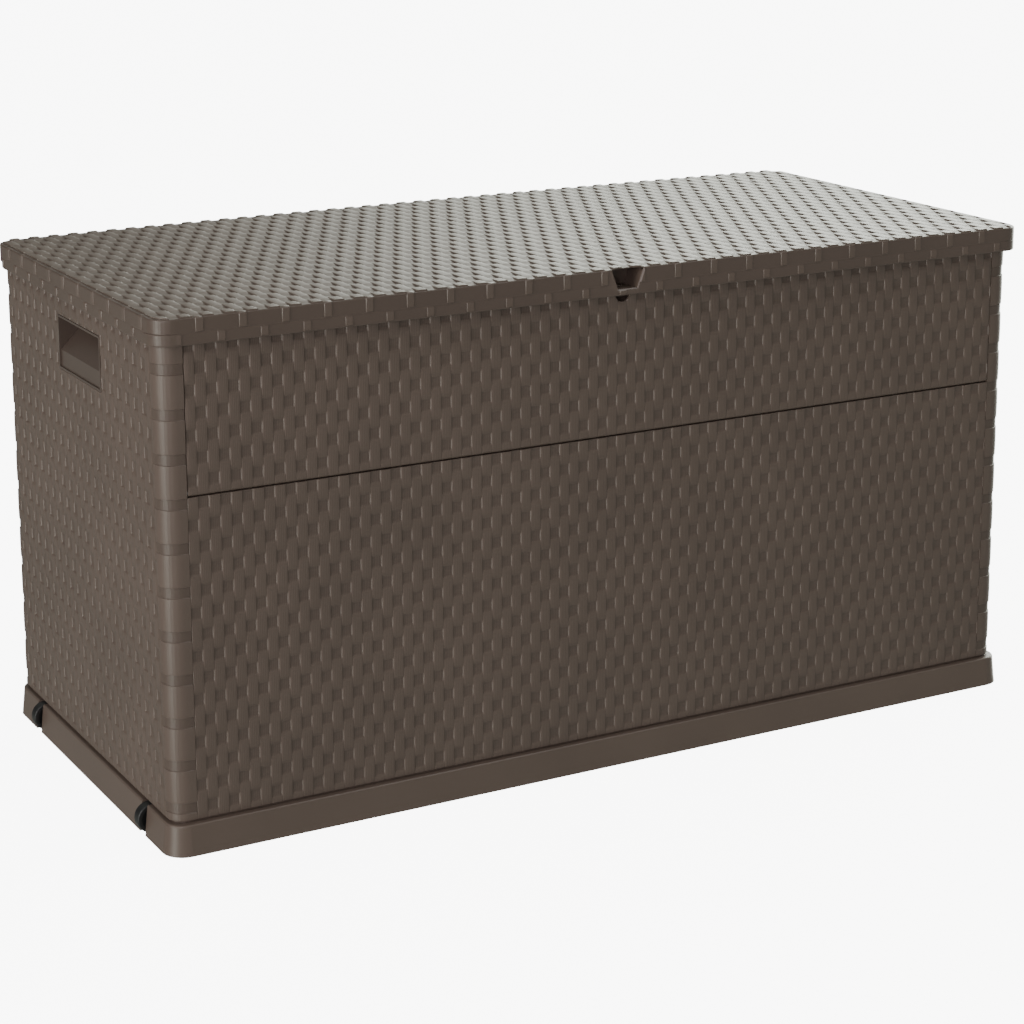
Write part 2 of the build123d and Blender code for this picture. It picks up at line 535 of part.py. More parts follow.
# Lid hinges, one near each end of the back
for name, side in SIDES:
    hinge_mid = side * HINGE_X
    across = Plane.YZ.offset(hinge_mid)
    with BuildPart() as hinge_bracket:
        with Locations((hinge_mid, BODY_BACK + LEAF / 2, (LEAF_BOTTOM + LEAF_TOP) / 2)):
            Box(2 * LEAF_HALF, LEAF, LEAF_TOP - LEAF_BOTTOM)
        ear_back = HINGE_Y + BARREL_RADIUS
        ear_bottom = LEAF_TOP - EAR_OVERLAP
        for ear in (-1, 1):
            ear_plane = Plane.YZ.offset(hinge_mid + ear * EAR_START)
            with BuildSketch(ear_plane):
                with Locations((HINGE_Y, HINGE_Z)):
                    Circle(BARREL_RADIUS)
                with Locations(((BODY_BACK + ear_back) / 2, (HINGE_Z + ear_bottom) / 2)):
                    Rectangle(ear_back - BODY_BACK, HINGE_Z - ear_bottom)
            extrude(amount=ear * (EAR_END - EAR_START))
        with BuildSketch(across):
            with Locations((HINGE_Y, HINGE_Z)):
                Circle(PIN_RADIUS)
        extrude(amount=LEAF_HALF, both=True, mode=Mode.SUBTRACT)
        with BuildSketch(Plane.XZ.offset(-(BODY_BACK + LEAF))):
            for dx in (-LEAF_SCREW_X, LEAF_SCREW_X):
                for z in LEAF_SCREW_Z:
                    with Locations((hinge_mid + dx, z)):
                        Circle(SCREW_RADIUS)
        extrude(amount=LEAF, mode=Mode.SUBTRACT)
    hinge_bracket.part.label = f"{name}_hinge_bracket"
    export_step(hinge_bracket.part, f"parts/{name}_hinge_bracket.step")

    with BuildPart() as hinge_knuckle:
        knuckle_top = HEIGHT - WALL
        liner_top = LINER_BOTTOM + LINER
        with BuildSketch(across):
            with Locations((HINGE_Y, HINGE_Z)):
                Circle(BARREL_RADIUS)
            plate_mid_y = (KNUCKLE_PLATE_FRONT + KNUCKLE_PLATE_BACK) / 2
            with Locations((plate_mid_y, (HINGE_Z + knuckle_top) / 2)):
                Rectangle(KNUCKLE_PLATE_BACK - KNUCKLE_PLATE_FRONT, knuckle_top - HINGE_Z)
            foot_front = LINER_BACK - KNUCKLE_FOOT_LENGTH
            with Locations(((foot_front + HINGE_Y) / 2, liner_top + KNUCKLE_FOOT / 2)):
                Rectangle(HINGE_Y - foot_front, KNUCKLE_FOOT)
            with Locations((HINGE_Y, HINGE_Z)):
                Circle(PIN_RADIUS + RUNNING_CLEARANCE, mode=Mode.SUBTRACT)
        extrude(amount=KNUCKLE_HALF, both=True)
        with BuildSketch(Plane.XY.offset(liner_top)):
            for dx in (-KNUCKLE_SCREW_X, KNUCKLE_SCREW_X):
                with Locations((hinge_mid + dx, knuckle_screw_y)):
                    Circle(SCREW_RADIUS)
        extrude(amount=KNUCKLE_FOOT, mode=Mode.SUBTRACT)
    hinge_knuckle.part.label = f"{name}_hinge_knuckle"
    export_step(hinge_knuckle.part, f"parts/{name}_hinge_knuckle.step")

    with BuildPart() as hinge_pin:
        with BuildSketch(across):
            with Locations((HINGE_Y, HINGE_Z)):
                Circle(PIN_RADIUS)
        extrude(amount=EAR_END, both=True)
    hinge_pin.part.label = f"{name}_hinge_pin"
    export_step(hinge_pin.part, f"parts/{name}_hinge_pin.step")

# Screws, grouped by what they hold: a seat is the plane under the head, facing away from the shank
jamb_seats = []
base_seats = []
bracket_seats = []
knuckle_seats = []
for name, side in SIDES:
    jamb_points = [(jamb_screw_front_y, z) for z in JAMB_SCREW_Z]
    jamb_points += [(jamb_screw_back_y, z) for z in JAMB_SCREW_Z + BACK_UPPER_SCREW_Z]
    for y, z in jamb_points:
        jamb_seats.append(Plane(origin=(side * (pan_half - WALL), y, z), z_dir=(-side, 0, 0)))
    for y in BASE_SCREW_Y:
        flange_face = (side * BASE_SCREW_X, y, PANEL_BOTTOM + BASE_FLANGE)
        base_seats.append(Plane(origin=flange_face, z_dir=(0, 0, 1)))
    for dx in (-LEAF_SCREW_X, LEAF_SCREW_X):
        for z in LEAF_SCREW_Z:
            leaf_face = (side * HINGE_X + dx, BODY_BACK + LEAF, z)
            bracket_seats.append(Plane(origin=leaf_face, z_dir=(0, 1, 0)))
    for dx in (-KNUCKLE_SCREW_X, KNUCKLE_SCREW_X):
        liner_face = (side * HINGE_X + dx, knuckle_screw_y, LINER_BOTTOM)
        knuckle_seats.append(Plane(origin=liner_face, z_dir=(0, 0, -1)))
flap_seats = []
for x in FLAP_BOSS_X:
    for z in FLAP_BOSS_Z:
        flap_face = (x, BODY_FRONT + FLAP_DEPTH, z)
        flap_seats.append(Plane(origin=flap_face, z_dir=(0, 1, 0)))

screw_groups = (
    ("panel_screws", jamb_seats, JAMB_SHANK),
    ("base_screws", base_seats, BASE_FLANGE + WALL),
    ("hinge_bracket_screws", bracket_seats, LEAF + WALL + LEAF_SCREW_BITE),
    ("hinge_knuckle_screws", knuckle_seats, LINER + KNUCKLE_FOOT),
    ("flap_screws", flap_seats, BLIND_HOLE),
)
for name, seats, shank_length in screw_groups:
    with BuildPart() as screws:
        with BuildSketch(*seats):
            Circle(SCREW_RADIUS)
        extrude(amount=-shank_length)
        with BuildSketch(*seats):
            Circle(SCREW_HEAD_RADIUS)
        extrude(amount=SCREW_HEAD)
    screws.part.label = name
    export_step(screws.part, f"parts/{name}.step")
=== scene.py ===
"""Looks of a deck storage box in rattan-look plastic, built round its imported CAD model.

The woven relief is real geometry: every panel is a closed shell whose outer face is a grid of
strands. A strand is a row of long floats with a small sunk square between them, and strands
side by side are half a period apart. All lengths are in metres.
"""
import json
import math

import bmesh
import bpy
import numpy as np
from mathutils import Matrix, Vector


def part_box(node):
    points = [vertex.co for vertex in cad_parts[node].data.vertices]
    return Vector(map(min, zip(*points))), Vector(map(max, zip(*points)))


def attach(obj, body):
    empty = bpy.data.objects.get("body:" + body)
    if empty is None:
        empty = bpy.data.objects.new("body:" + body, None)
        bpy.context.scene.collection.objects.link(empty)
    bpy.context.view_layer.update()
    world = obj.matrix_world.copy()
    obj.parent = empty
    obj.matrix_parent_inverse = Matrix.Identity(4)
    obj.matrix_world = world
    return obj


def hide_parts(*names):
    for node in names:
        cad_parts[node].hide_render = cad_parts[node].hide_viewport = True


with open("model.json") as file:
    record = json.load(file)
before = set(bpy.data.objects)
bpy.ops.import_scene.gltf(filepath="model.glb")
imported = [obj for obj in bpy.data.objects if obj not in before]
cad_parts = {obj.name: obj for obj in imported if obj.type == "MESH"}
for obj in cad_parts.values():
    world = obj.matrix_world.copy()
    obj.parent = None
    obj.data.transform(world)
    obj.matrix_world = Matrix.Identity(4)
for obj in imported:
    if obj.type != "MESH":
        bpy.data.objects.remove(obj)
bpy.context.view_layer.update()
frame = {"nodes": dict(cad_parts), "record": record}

MM = 0.001

# Places taken from the CAD nodes
front_low, front_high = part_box("lower_front_panel")
back_low, back_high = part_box("lower_back_panel")
upper_low, upper_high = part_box("upper_back_panel")
flap_low, flap_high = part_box("front_flap")
end_low, end_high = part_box("right_end_panel")
lid_low, lid_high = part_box("lid_shell")
cup_low, cup_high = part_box("right_handle_cup")
socket_low, socket_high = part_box("padlock_socket")

# The seams round the flap look tighter than the room that the CAD model leaves for it to turn
SEAM_ROOM = 0.6 * MM
front_high.z += SEAM_ROOM
flap_low.x -= SEAM_ROOM * 2
flap_high.x += SEAM_ROOM * 2

# Walls, as in the CAD model
WALL = 2.8 * MM
RIB = 3 * MM
RIB_SPACING = 200 * MM
RIB_PLACES = [step * RIB_SPACING for step in (-2, -1, 0, 1, 2)]
FLAP_RIB_PLACES = (-RIB_SPACING, RIB_SPACING)
FLAP_RIB_DEPTH = 14.5 * MM
JOINT_ROOM = 2 * MM
FLANGE_START = 1 * MM
FLANGE_OVERLAP = 0.5 * MM
OVERLAP = 0.3 * MM
FRONT_CORNER = 22 * MM
BACK_CORNER = 16 * MM
JAMB_DEPTH = 22 * MM
FLAP_EDGE = 4 * MM
LID_CORNER = 25 * MM
LID_EDGE = 3 * MM

# How far a cutter stands out past the piece that it cuts
CLEAR = 5 * MM

# Weave: squares repeat along a strand, and grooves run between the strands
SEAM_X = end_low.x
FRONT_COLUMNS = 85
COLUMN = 2 * SEAM_X / FRONT_COLUMNS
PERIOD = 51.3 * MM
FIRST_SQUARE = 74.4 * MM
SQUARE = 11 * MM
SQUARE_DEPTH = 1.6 * MM
SQUARE_RAMP = 2.6 * MM
GROOVE = 0.55 * MM
FLOAT_ARCH = 0.55 * MM
FLOAT_CROWN = 0.12 * MM
EDGE_INNER = 0.8 * MM
EDGE_OUTER = 1.8 * MM
EDGE_DROP = 0.2
LINE_ROOM = 0.3 * MM
ROW_ROOM = 0.25 * MM
# Painted shade: how much darker the grooves and the sunk squares are painted
GROOVE_PAINTED_SHADE = 0.25
SQUARE_PAINTED_SHADE = 0.34

# Padlock notch, the hole for the shackle and the half-moon relief in the flap
NOTCH_LEDGE = 603.5 * MM
NOTCH_CHAMFER = 1.0 * MM
NOTCH_TOP_HALF = 22 * MM
NOTCH_BOTTOM_HALF = 13 * MM
NOTCH_LEAN = (NOTCH_TOP_HALF - NOTCH_BOTTOM_HALF) / (lid_high.z - WALL - NOTCH_LEDGE)
NOTCH_DEPTH = 10 * MM
CUT_OVERLAP = 0.5 * MM
SHACKLE_Y = -257.5 * MM
SHACKLE_RADIUS = 4.5 * MM
MOON_RADIUS = 10.5 * MM
NOTCH_SCOOP = 6 * MM
SCOOP_HALF = 29 * MM
SCOOP_ROOM = 1 * MM

# Ends: banded corner posts, strands between them and the handle opening
BAND_CENTRE = 54.4 * MM
BAND_HALF = 6 * MM
BAND_DEPTH = 1.1 * MM
BAND_LIP = 0.6 * MM
# Painted shade: how much darker the posts' sunk bands are painted
BAND_PAINTED_SHADE = 0.6
POST_BULGE = 0.3 * MM
POST_INSET = 0.1 * MM
CORNER_STEPS = 13
INNER_CORNER_STEPS = 7
END_COLUMNS = 37
HANDLE_LIP = 1.5 * MM
END_WEAVE_FRONT = end_low.y + FRONT_CORNER + 4 * MM
END_WEAVE_BACK = end_high.y - BACK_CORNER - 8 * MM
END_PITCH = (END_WEAVE_BACK - END_WEAVE_FRONT) / END_COLUMNS

# Lid: a woven slab inside a rim, whose fascia has two rows of strands with raised squares
LID_PERIOD = 52.4 * MM
LID_COLUMNS = 91
LID_FIRST_SQUARE = -281.7 * MM
LID_RELIEF = 1.15
LID_SQUARE = 9 * MM
LID_RAMP = 5.5 * MM
SLAB_END_INSET = 6 * MM
SLAB_EDGE_INSET = 1.6 * MM
SLAB_RISE = 1.3 * MM
SLAB = 0.8 * MM
TRIM = 0.01 * MM
SLAB_UNDER_STEPS = 13
LID_CROWN = 2.0 * MM
RIM_LIP = 5 * MM
RIM_OVERLAP = 1.5 * MM
RIM_SINK = 0.3 * MM
EDGE_SINK = 0.6
FASCIA_PERIOD = 51.4 * MM
FASCIA_SQUARE = 9.5 * MM
FASCIA_RISE = 0.9 * MM
# Painted shade: how much darker the fascia is painted between its raised squares
FASCIA_PAINTED_SHADE = 0.55
FASCIA_BEVEL = 0.7 * MM
UPPER_SQUARE_X = -551.2 * MM
UPPER_SQUARE_Y = UPPER_SQUARE_X % (FASCIA_PERIOD / 2)
FOOT = 1.2 * MM
FOOT_INSET = 0.6 * MM
ROW_SPLIT = 609.5 * MM
ROW_EDGE = 0.8 * MM
ROW_GROOVE = 0.2 * MM
CORNER_ROW_GROOVE = 0.7 * MM
LOWER_ROW = [lid_low.z + 1.4 * MM, lid_low.z + 2.2 * MM, ROW_SPLIT - 2.2 * MM, ROW_SPLIT - ROW_EDGE]
UPPER_ROW = [ROW_SPLIT + ROW_EDGE, ROW_SPLIT + 2 * ROW_EDGE]

# Where the lid is cut back for the hinges and behind them
REAR_CUT_FRONT = 250 * MM
REAR_CUT_TOP = 605 * MM
HINGE_X = 400 * MM
HINGE_NOTCH_HALF = 31 * MM
HINGE_NOTCH_TOP = 613.5 * MM
HINGE_NOTCH_DEPTH = 8 * MM


class Shell:
    """A mesh gathered from grids and faces; 'sunk' says how much painted shade a point gets, for the darker
    grooves and sunk squares of the relief.
    """

    def __init__(self):
        self.points = []
        self.sunk = []
        self.faces = []

    def add(self, points, sunk=0.0):
        """Adds an array of points, with the painted shade of each, and returns their numbers in the same
        shape.
        """
        points = np.asarray(points, float)
        flat = points.reshape(-1, 3)
        first = len(self.points)
        self.points.extend(map(tuple, flat))
        self.sunk.extend(np.broadcast_to(sunk, points.shape[:-1]).ravel())
        return np.arange(first, first + len(flat)).reshape(points.shape[:-1])

    def grid(self, numbers):
        """Quads over a 2-D array of point numbers."""
        a, b = numbers[:-1, :-1].ravel(), numbers[1:, :-1].ravel()
        c, d = numbers[1:, 1:].ravel(), numbers[:-1, 1:].ravel()
        self.faces.extend(zip(a.tolist(), b.tolist(), c.tolist(), d.tolist()))

    def face(self, *numbers):
        """One face through lists of point numbers, in order."""
        self.faces.append(tuple(int(n) for part in numbers for n in np.atleast_1d(part)))

    def sleeve(self, first, second):
        """Quads between two closed rings of point numbers."""
        for i in range(len(first)):
            j = (i + 1) % len(first)
            self.face(first[i], first[j], second[j], second[i])

    def solid(self, first, second):
        """A closed solid between two rings of points."""
        first, second = self.add(first), self.add(second)
        self.face(first)
        self.face(second[::-1])
        self.sleeve(first, second)

    def box(self, low, high):
        """A closed box."""
        corners = rectangle(low[0], low[1], high[0], high[1])
        self.solid([(x, y, low[2]) for x, y in corners], [(x, y, high[2]) for x, y in corners])

    def skirt(self, outer, edge):
        """Faces from the four sides of a grid of point numbers to the four corners of an edge."""
        self.face(outer[:, 0], edge[1], edge[0])
        self.face(outer[-1, :], edge[2], edge[1])
        self.face(outer[::-1, -1], edge[3], edge[2])
        self.face(outer[0, ::-1], edge[0], edge[3])

    def build(self, name):
        """The mesh object, with all faces turned outwards."""
        mesh = bpy.data.meshes.new(name)
        mesh.from_pydata(self.points, [], self.faces)
        # The 'sunk' attribute carries the painted shade of the relief
        sunk = mesh.attributes.new("sunk", "FLOAT", "POINT")
        sunk.data.foreach_set("value", np.array(self.sunk, np.float32))
        work = bmesh.new()
        work.from_mesh(mesh)
        bmesh.ops.recalc_face_normals(work, faces=work.faces)
        work.to_mesh(mesh)
        work.free()
        piece = bpy.data.objects.new(name, mesh)
        bpy.context.scene.collection.objects.link(piece)
        return piece


def rectangle(a_low, b_low, a_high, b_high):
    """The corners of a rectangle, in order."""
    return [(a_low, b_low), (a_high, b_low), (a_high, b_high), (a_low, b_high)]


def arc(radius, from_degrees, to_degrees, steps, centre=(0, 0)):
    """Points along an arc of a circle."""
    turns = np.radians(np.linspace(from_degrees, to_degrees, steps))
    return [(centre[0] + radius * math.cos(a), centre[1] + radius * math.sin(a)) for a in turns]


def circle(radius, centre, steps):
    """The outline of a circle."""
    return arc(radius, 0, 360, steps + 1, centre)[:-1]


def prism(outline, low, high, axis, name="cutter"):
    """A closed prism of a 2-D outline between two heights along axis."""
    shell = Shell()
    rings = [[(*point[:axis], height, *point[axis:]) for point in outline] for height in (low, high)]
    shell.solid(*rings)
    return shell.build(name)


def funnel(window, outer_x, inner_x, spread):
    """A closed cutter that widens a window by spread towards its outer end, for a chamfered mouth."""
    shell = Shell()
    signs = rectangle(-1, -1, 1, 1)
    inner = [(inner_x, y, z) for y, z in window]
    outer = [(outer_x, y + sy * spread, z + sz * spread) for (y, z), (sy, sz) in zip(window, signs)]
    shell.solid(inner, outer)
    return shell.build("cutter")


def apply_modifiers(piece):
    """Puts the result of a piece's modifiers into its mesh."""
    depsgraph = bpy.context.evaluated_depsgraph_get()
    mesh = bpy.data.meshes.new_from_object(piece.evaluated_get(depsgraph))
    piece.modifiers.clear()
    piece.data = mesh


def cut(piece, cutters, operation="DIFFERENCE"):
    """Cuts closed cutters out of a piece, or keeps what lies inside them, and removes the cutters."""
    for cutter in cutters:
        modifier = piece.modifiers.new("cut", "BOOLEAN")
        modifier.operation = operation
        modifier.solver = "EXACT"
        modifier.object = cutter
    apply_modifiers(piece)
    for cutter in cutters:
        bpy.data.objects.remove(cutter)


def smooth(piece, degrees=34):
    """Smooth shading with sharp edges where faces meet at more than an angle."""
    mesh = piece.data
    mesh.polygons.foreach_set("use_smooth", [True] * len(mesh.polygons))
    mesh.set_sharp_from_angle(angle=math.radians(degrees))


def smoothstep(x):
    """From 0 to 1 with level ends."""
    x = np.clip(x, 0, 1)
    return x * x * (3 - 2 * x)


def strand_lines(start, pitch, count, low, high):
    """Grid lines across the strands: place, place within the strand (0 to 1) and strand number."""
    lines = []
    for strand in range(count):
        for offset in (0, EDGE_INNER, EDGE_OUTER, pitch / 2, pitch - EDGE_OUTER, pitch - EDGE_INNER):
            lines.append((start + strand * pitch + offset, offset / pitch, strand))
    lines.append((start + count * pitch, 0.0, count))
    kept = [line for line in lines if low + LINE_ROOM < line[0] < high - LINE_ROOM]
    first = (low, 0.0, kept[0][2])
    last = (high, 0.0, kept[-1][2])
    lines = [first] + kept + [last]
    return tuple(np.array(column) for column in zip(*lines))


def period_lines(low, high, first, period, square=SQUARE, ramp=SQUARE_RAMP, steps=2):
    """Grid lines along the strands: the edges of the squares of both parities, and the floats between."""
    half = period / 2
    gap = half - square - 2 * ramp
    part_ramps = [ramp * step / steps for step in range(1, steps + 1)]
    offsets = [-part for part in part_ramps] + [0, square / 2, square]
    offsets += [square + part for part in part_ramps] + [square + ramp + gap / 2]
    lines = []
    start = first - period * math.ceil((first - low) / period + 1)
    while start < high + period:
        for shift in (0, half):
            lines += [start + shift + offset for offset in offsets]
        start += period
    kept = sorted(line for line in lines if low + LINE_ROOM < line < high - LINE_ROOM)
    return np.array([low] + kept + [high])


def weave(across, strand, along, first, pitch, period=PERIOD, square=SQUARE, ramp=SQUARE_RAMP):
    """Depth of the relief below the face, and the painted shade of each point, on a grid (across, along)."""
    w = across[:, None] * pitch
    parity = (strand % 2)[:, None]
    t = (along[None, :] - first - parity * period / 2) % period
    sunk = np.where(t < square, 1.0, 0.0)
    sunk = np.maximum(sunk, 1 - (t - square) / ramp)
    sunk = np.maximum(sunk, 1 - (period - t) / ramp)
    sunk = smoothstep(sunk)
    place = np.clip((t - square) / (period - square), 0, 1)
    arch = FLOAT_ARCH * (2 * place - 1) ** 2
    near = np.minimum(w, pitch - w)
    edge = np.interp(near, [0, EDGE_INNER, EDGE_OUTER], [1, EDGE_DROP, 0])
    wall = np.interp(near, [0, EDGE_INNER], [1, 0])
    crown = FLOAT_CROWN * (2 * across[:, None] - 1) ** 2
    above = np.maximum(arch, crown) * (1 - edge) + GROOVE * edge
    below = SQUARE_DEPTH + (GROOVE - SQUARE_DEPTH) * wall
    depth = above + (below - above) * sunk
    on_groove = np.broadcast_to(near < 1e-9, depth.shape)
    depth = np.where(on_groove, GROOVE, depth)
    # Painted shade: grooves and sunk squares are painted darker
    return depth, np.where(on_groove, GROOVE_PAINTED_SHADE, SQUARE_PAINTED_SHADE * sunk ** 2)


def ribs(shell, places, y_low, y_high, z_low, z_high):
    """Upright ribs at some places along X."""
    for x in places:
        shell.box((x - RIB / 2, y_low, z_low), (x + RIB / 2, y_high, z_high))


def pan(shell, outer, back_y, inward, low, high):
    """Closes a grid of outer points (x, z) into a shallow pan: flanges all round, open to the inside."""
    skin_y = (low.y if inward > 0 else high.y) + inward * WALL
    inside = rectangle(low.x + WALL, low.z + WALL, high.x - WALL, high.z - WALL)
    rim = shell.add([(x, back_y, z) for x, z in rectangle(low.x, low.z, high.x, high.z)])
    lip = shell.add([(x, back_y, z) for x, z in inside])
    floor = shell.add([(x, skin_y, z) for x, z in inside])
    shell.skirt(outer, rim)
    shell.sleeve(rim, lip)
    shell.sleeve(lip, floor)
    shell.face(floor)


def woven_pan(name, low, high, inward):
    """A fixed front or back panel: a pan whose outer face is woven."""
    shell = Shell()
    x, across, strand = strand_lines(-SEAM_X, COLUMN, FRONT_COLUMNS, low.x, high.x)
    z = period_lines(low.z, high.z, FIRST_SQUARE, PERIOD)
    depth, sunk = weave(across, strand, z, FIRST_SQUARE, COLUMN)
    face_y = low.y if inward > 0 else high.y
    points = np.empty(depth.shape + (3,))
    points[..., 0] = x[:, None]
    points[..., 1] = face_y + inward * depth
    points[..., 2] = z[None, :]
    outer = shell.add(points, sunk)
    shell.grid(outer)
    back_y = high.y if inward > 0 else low.y
    pan(shell, outer, back_y, inward, low, high)
    skin_y = face_y + inward * (WALL - OVERLAP)
    middle_y = (face_y + back_y + inward * WALL) / 2
    rib_low, rib_high = sorted((skin_y, middle_y))
    ribs(shell, RIB_PLACES, rib_low, rib_high, low.z + WALL / 2, high.z - WALL / 2)
    piece = shell.build(name + "_woven")
    smooth(piece)
    return piece


def woven_flap():
    """The front flap: woven like the panel below it, with a bottom edge rounded about its pivots."""
    shell = Shell()
    low, high = flap_low, flap_high
    x, across, strand = strand_lines(-SEAM_X, COLUMN, FRONT_COLUMNS, low.x, high.x)
    bend_z = low.z + FLAP_EDGE
    z = period_lines(bend_z, high.z, FIRST_SQUARE, PERIOD)
    depth, sunk = weave(across, strand, z, FIRST_SQUARE, COLUMN)
    face = np.empty(depth.shape + (3,))
    face[..., 0] = x[:, None]
    face[..., 1] = low.y + depth
    face[..., 2] = z[None, :]
    angles = np.radians([18, 36, 54, 72])
    turn = np.empty((len(x), len(angles), 3))
    radius = FLAP_EDGE - depth[:, :1] * np.cos(angles)[None, :] ** 2
    turn[..., 0] = x[:, None]
    turn[..., 1] = low.y + FLAP_EDGE - radius * np.cos(angles)[None, :]
    turn[..., 2] = bend_z - radius * np.sin(angles)[None, :]
    under = np.empty((len(x), 2, 3))
    under[..., 0] = x[:, None]
    under[..., 1] = (low.y + FLAP_EDGE, high.y)
    under[..., 2] = low.z
    points = np.concatenate([under[:, ::-1], turn[:, ::-1], face], axis=1)
    extra = np.zeros((len(x), points.shape[1] - sunk.shape[1]))
    outer = shell.add(points, np.concatenate([extra, sunk], axis=1))
    shell.grid(outer)
    skin_y = low.y + WALL
    inside = rectangle(low.x + RIB, low.z + RIB, high.x - RIB, high.z - RIB)
    top = shell.add([(low.x, high.y, high.z), (high.x, high.y, high.z)])
    lip = shell.add([(px, high.y, pz) for px, pz in inside])
    floor = shell.add([(px, skin_y, pz) for px, pz in inside])
    shell.face(outer[-1, :], top[1])
    shell.face(outer[0, ::-1], top[0])
    shell.face(outer[::-1, -1], top[0], top[1])
    shell.face(outer[:, 0][::-1], lip[0], lip[1])
    shell.face(outer[-1, 0], lip[1], lip[2], top[1])
    shell.face(top[1], lip[2], lip[3], top[0])
    shell.face(top[0], lip[3], lip[0], outer[0, 0])
    shell.sleeve(lip, floor)
    shell.face(floor)
    rib_back = low.y + FLAP_RIB_DEPTH
    ribs(shell, FLAP_RIB_PLACES, skin_y - OVERLAP, rib_back, low.z + RIB / 2, high.z - RIB / 2)
    piece = shell.build("front_flap_woven")
    moon = prism(circle(MOON_RADIUS, (0, lid_low.z), 48), low.y - CLEAR, skin_y + JOINT_ROOM, 1)
    cut(piece, [moon, prism(circle(SHACKLE_RADIUS, (0, SHACKLE_Y), 32), high.z - 2 * RIB, high.z + RIB, 2)])
    smooth(piece)
    return piece


def corner_path(side):
    """The end panel's outer section as points, outward normals and kinds, from the front seam.

    A kind is the place within the strand and the strand's number. A place of -1 marks a corner post.
    """
    low, high = end_low, end_high
    points, normals, kinds = [], [], []

    def put(x, y, nx, ny, kind):
        """Adds one point of the section."""
        points.append((side * x, y))
        normals.append((side * nx, ny))
        kinds.append(kind)

    front_x = high.x - FRONT_CORNER
    back_x = high.x - BACK_CORNER
    for x in np.linspace(low.x, front_x, 3)[:-1]:
        put(x, low.y, 0, -1, (-1, 0))
    for nx, ny in arc(1, -90, 0, CORNER_STEPS):
        put(front_x + FRONT_CORNER * nx, low.y + FRONT_CORNER * (1 + ny), nx, ny, (-1, 0))
    lines = strand_lines(END_WEAVE_FRONT, END_PITCH, END_COLUMNS, END_WEAVE_FRONT, END_WEAVE_BACK)
    for y, across, strand in zip(*lines):
        put(high.x, y, 1, 0, (across, strand))
    for nx, ny in arc(1, 0, 90, CORNER_STEPS):
        put(back_x + BACK_CORNER * nx, high.y - BACK_CORNER * (1 - ny), nx, ny, (-1, 1))
    for x in np.linspace(back_x, low.x, 3)[1:]:
        put(x, high.y, 0, 1, (-1, 1))
    return np.array(points), np.array(normals), kinds


def band_profile(z):
    """Depth and painted shade of a corner post along its height: sunk bands, painted darker, between slightly
    bulged stretches.
    """
    t = (z - BAND_CENTRE + PERIOD / 2) % PERIOD - PERIOD / 2
    far = np.abs(t)
    sunk = np.clip((BAND_HALF + BAND_LIP - far) / BAND_LIP, 0, 1)
    place = np.clip((far - BAND_HALF) / (PERIOD / 2 - BAND_HALF), 0, 1)
    bulge = POST_BULGE * (1 - place) ** 2
    return bulge + (BAND_DEPTH - bulge) * sunk + POST_INSET, BAND_PAINTED_SHADE * sunk


def band_lines(low, high):
    """Grid lines along a post: the edges of its bands."""
    lines = []
    centre = BAND_CENTRE - PERIOD
    while centre < high + PERIOD:
        for offset in (BAND_HALF, BAND_HALF + BAND_LIP, BAND_HALF + 3 * BAND_LIP):
            lines += [centre - offset, centre + offset]
        centre += PERIOD
    return [line for line in lines if low < line < high]


def end_inside(side):
    """The end panel's inner section: jambs beside both seams and a wall that follows the corners."""
    low, high = end_low, end_high
    wall_x = low.x + WALL
    back_centre = (high.x - BACK_CORNER, high.y - BACK_CORNER)
    front_centre = (high.x - FRONT_CORNER, low.y + FRONT_CORNER)
    path = [(low.x, high.y - JAMB_DEPTH), (wall_x, high.y - JAMB_DEPTH), (wall_x, high.y - WALL)]
    path += arc(BACK_CORNER - WALL, 90, 0, INNER_CORNER_STEPS, back_centre)
    path += arc(FRONT_CORNER - WALL, 0, -90, INNER_CORNER_STEPS, front_centre)
    path += [(wall_x, low.y + WALL), (wall_x, low.y + JAMB_DEPTH), (low.x, low.y + JAMB_DEPTH)]
    return np.array(path) * (side, 1)


